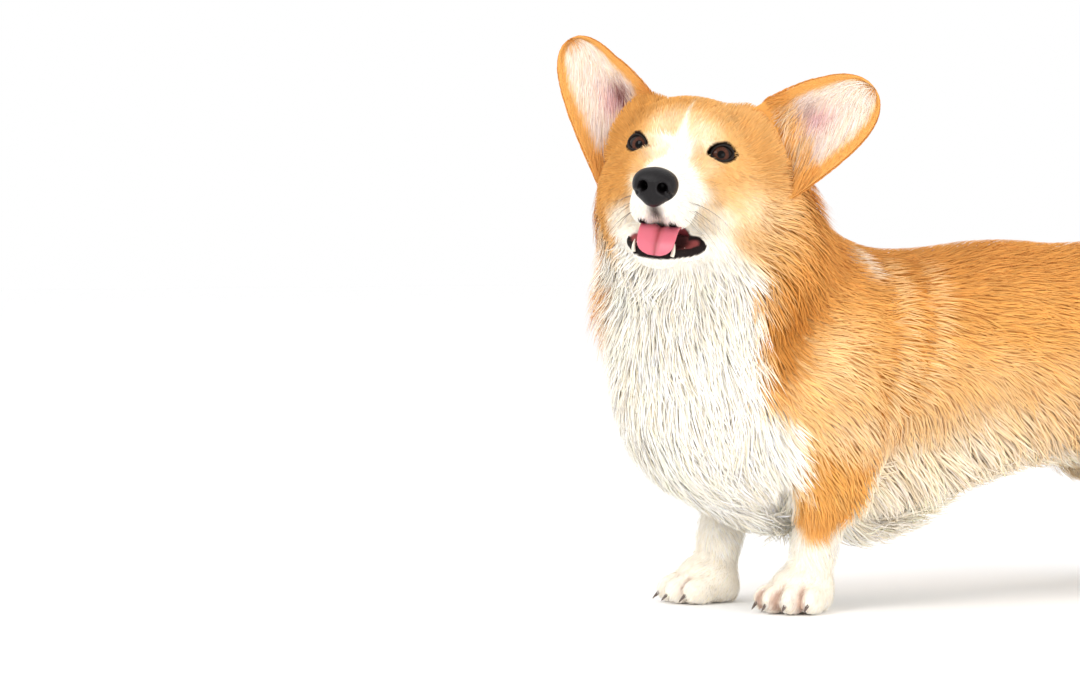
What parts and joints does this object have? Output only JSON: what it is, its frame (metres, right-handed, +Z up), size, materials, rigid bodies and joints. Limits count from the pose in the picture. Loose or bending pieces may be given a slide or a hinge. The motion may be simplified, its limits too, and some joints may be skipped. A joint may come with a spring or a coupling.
{
  "type": "pembroke welsh corgi",
  "caption": "Life-size still model of a standing Pembroke Welsh corgi with a red and white coat, its head turned and its mouth open.",
  "frame": {"origin": "on the floor below the middle of the whole model's box", "axes": "+X from the tail towards the head, +Y to the dog's left, +Z up from the floor"},
  "size_m": [0.6362, 0.2484, 0.4504],
  "materials": {
    "red_coat": "soft double coat, red",
    "white_coat": "soft double coat, white",
    "nose_leather": "pebbled, moist, black",
    "eye": "wet, dark brown iris",
    "tongue_flesh": "moist, pink",
    "lip_skin": "short white hair with dark lips",
    "claw": "horn"
  },
  "bodies": {
    "root": {"head": "red_coat", "neck": "red_coat", "loin": "red_coat", "rump": "red_coat", "tail": "red_coat", "chest": "white_coat", "lower_jaw": "lip_skin", "tongue": "tongue_flesh", "nose": "nose_leather", "ear_left": "red_coat", "eye_left": "eye", "foreleg_left_upper": "red_coat", "foreleg_left_lower": "white_coat", "hindleg_left_upper": "red_coat", "hindleg_left_lower": "white_coat", "ear_right": "red_coat", "eye_right": "eye", "foreleg_right_upper": "red_coat", "foreleg_right_lower": "white_coat", "hindleg_right_upper": "red_coat", "hindleg_right_lower": "white_coat", "paw_fore_left": "white_coat", "claw_fore_left_1": "claw", "claw_fore_left_2": "claw", "claw_fore_left_3": "claw", "claw_fore_left_4": "claw", "paw_fore_right": "white_coat", "claw_fore_right_1": "claw", "claw_fore_right_2": "claw", "claw_fore_right_3": "claw", "claw_fore_right_4": "claw", "paw_hind_left": "white_coat", "claw_hind_left_1": "claw", "claw_hind_left_2": "claw", "claw_hind_left_3": "claw", "claw_hind_left_4": "claw", "paw_hind_right": "white_coat", "claw_hind_right_1": "claw", "claw_hind_right_2": "claw", "claw_hind_right_3": "claw", "claw_hind_right_4": "claw"}
  },
  "joints": []
}
